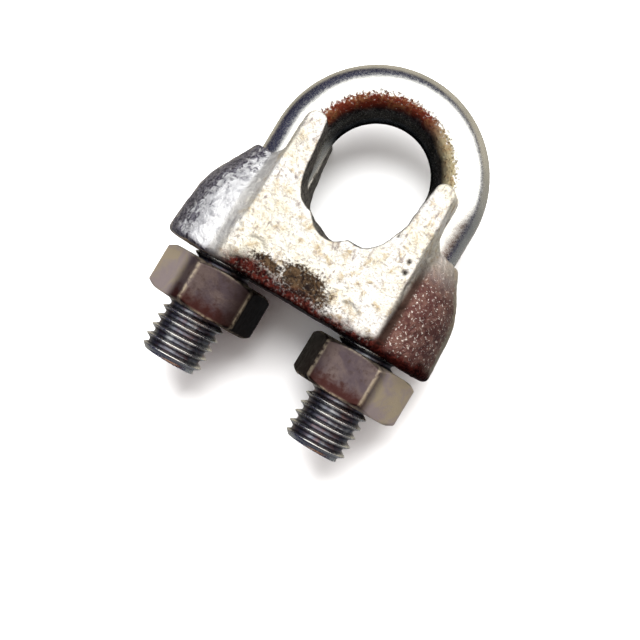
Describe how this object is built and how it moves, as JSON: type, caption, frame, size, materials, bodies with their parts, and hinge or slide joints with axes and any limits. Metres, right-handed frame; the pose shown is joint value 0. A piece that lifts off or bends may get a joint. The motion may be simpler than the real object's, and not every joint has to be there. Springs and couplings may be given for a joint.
{
  "type": "wire rope clip",
  "caption": "U-bolt wire rope clip: a threaded U-bolt through a cast saddle, drawn up by hex nuts to clamp a doubled rope.",
  "frame": {"origin": "under the middle of the clip's box, on the plane of the saddle's back plate, which it lies on", "axes": "+X across the legs, towards the right leg seen from the front plate; +Y along the legs, towards the bow; +Z out of the saddle's front plate, up as it lies"},
  "size_m": [0.0366, 0.045, 0.0168],
  "materials": {
    "cast_zinc": "zinc-coated casting, rough and lumpy, bright on the high spots with brown staining in the pits",
    "bright_zinc": "bright zinc-plated bar, smooth on the bow, dark grey in the thread grooves",
    "nut_zinc": "dull yellowish zinc, satin, with edges worn bright"
  },
  "bodies": {
    "saddle": {"saddle": "cast_zinc"},
    "u_bolt": {"u_bolt": "bright_zinc"},
    "nut_left": {"nut_left": "nut_zinc"},
    "nut_right": {"nut_right": "nut_zinc"}
  },
  "joints": [
    {"name": "u_bolt_slide", "type": "slide", "parent": "saddle", "child": "u_bolt", "axis": [0, -1, 0], "range_m": [-0.00624, 0.00187]},
    {"name": "nut_left_spin", "type": "hinge", "parent": "saddle", "child": "nut_left", "pos_m": [-0.01, -0.013, 0.0084], "axis": [0, 1, 0], "range_deg": [-1800, 540]},
    {"name": "nut_right_spin", "type": "hinge", "parent": "saddle", "child": "nut_right", "pos_m": [0.01, -0.013, 0.0084], "axis": [0, 1, 0], "range_deg": [-1800, 540]}
  ],
  "couplings": [
    {"joint": "nut_left_spin", "follows": "u_bolt_slide", "rad_per_m": 5026.5},
    {"joint": "nut_right_spin", "follows": "u_bolt_slide", "rad_per_m": 5026.5}
  ]
}
